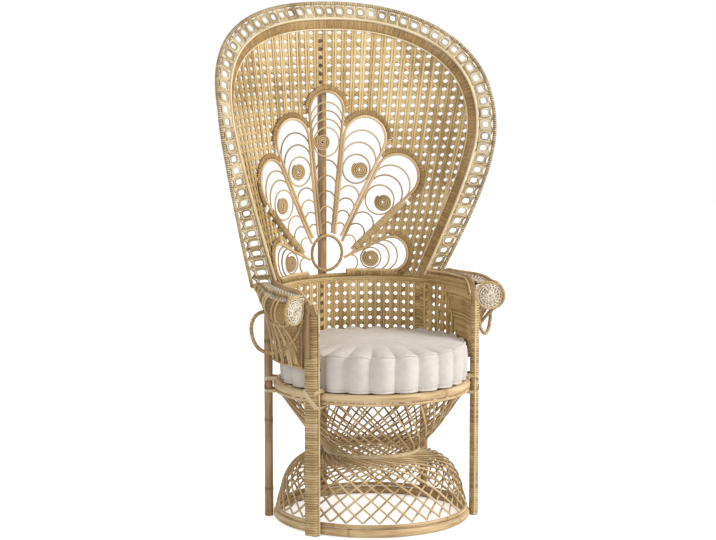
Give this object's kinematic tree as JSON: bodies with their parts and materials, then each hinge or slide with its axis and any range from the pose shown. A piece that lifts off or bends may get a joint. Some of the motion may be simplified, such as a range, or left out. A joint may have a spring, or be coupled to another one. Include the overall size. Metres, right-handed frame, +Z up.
{
  "type": "peacock chair",
  "caption": "Rattan armchair with a tall round fan back of woven cane, rolled arms and an hourglass lattice pedestal, with a loose round tufted cushion on its seat.",
  "frame": {"origin": "middle of the bounding box at floor level", "axes": "+Z up, +X to the viewer's right seen from the front, the chair faces -Y"},
  "size_m": [0.9098, 0.5996, 1.4788],
  "materials": {
    "pole": "satin varnished rattan pole",
    "cane": "satin split cane",
    "binding": "satin cane binding",
    "linen": "plain woven linen"
  },
  "bodies": {
    "chair": {"floor_hoop": "pole", "floor_hoop_upper": "pole", "seat_hoop": "pole", "seat_hoop_under": "pole", "spine_pole": "pole", "wall_foot_rail": "pole", "waist_rail": "pole", "rim_inner_rod": "pole", "rim_front_rod": "pole", "seat_bar_left": "pole", "seat_bar_right": "pole", "front_post_left": "pole", "front_post_right": "pole", "arm_pole_left": "pole", "arm_pole_right": "pole", "rear_leg_left": "pole", "rear_leg_right": "pole", "seat_deck": "cane", "pedestal_weave": "cane", "wall_panel_back": "cane", "rim_arches": "cane", "back_panel": "cane", "eye_centre": "cane", "wall_panel_left": "cane", "wall_panel_right": "cane", "eye_upper_left": "cane", "eye_upper_right": "cane", "eye_middle_left": "cane", "eye_middle_right": "cane", "eye_lower_left": "cane", "eye_lower_right": "cane", "arm_wing_left": "cane", "arm_wing_right": "cane", "arm_ribs_left": "cane", "arm_ribs_right": "cane", "spine_lashing": "binding", "rim_outer_rod": "binding", "rim_band": "binding", "fan_ring": "binding", "petal_centre": "binding", "leg_binding_left": "binding", "leg_binding_right": "binding", "front_lashing_left": "binding", "front_lashing_right": "binding", "rear_lashing_left": "binding", "rear_lashing_right": "binding", "petal_upper_left": "binding", "petal_upper_right": "binding", "petal_middle_left": "binding", "petal_middle_right": "binding", "petal_lower_left": "binding", "petal_lower_right": "binding", "arm_scroll_left": "binding", "arm_scroll_right": "binding"},
    "cushion": {"cushion": "linen"}
  },
  "joints": [
    {"name": "cushion_lift", "type": "slide", "parent": "chair", "child": "cushion", "axis": [0, 0, 1], "range_m": [0, 0.35]}
  ]
}
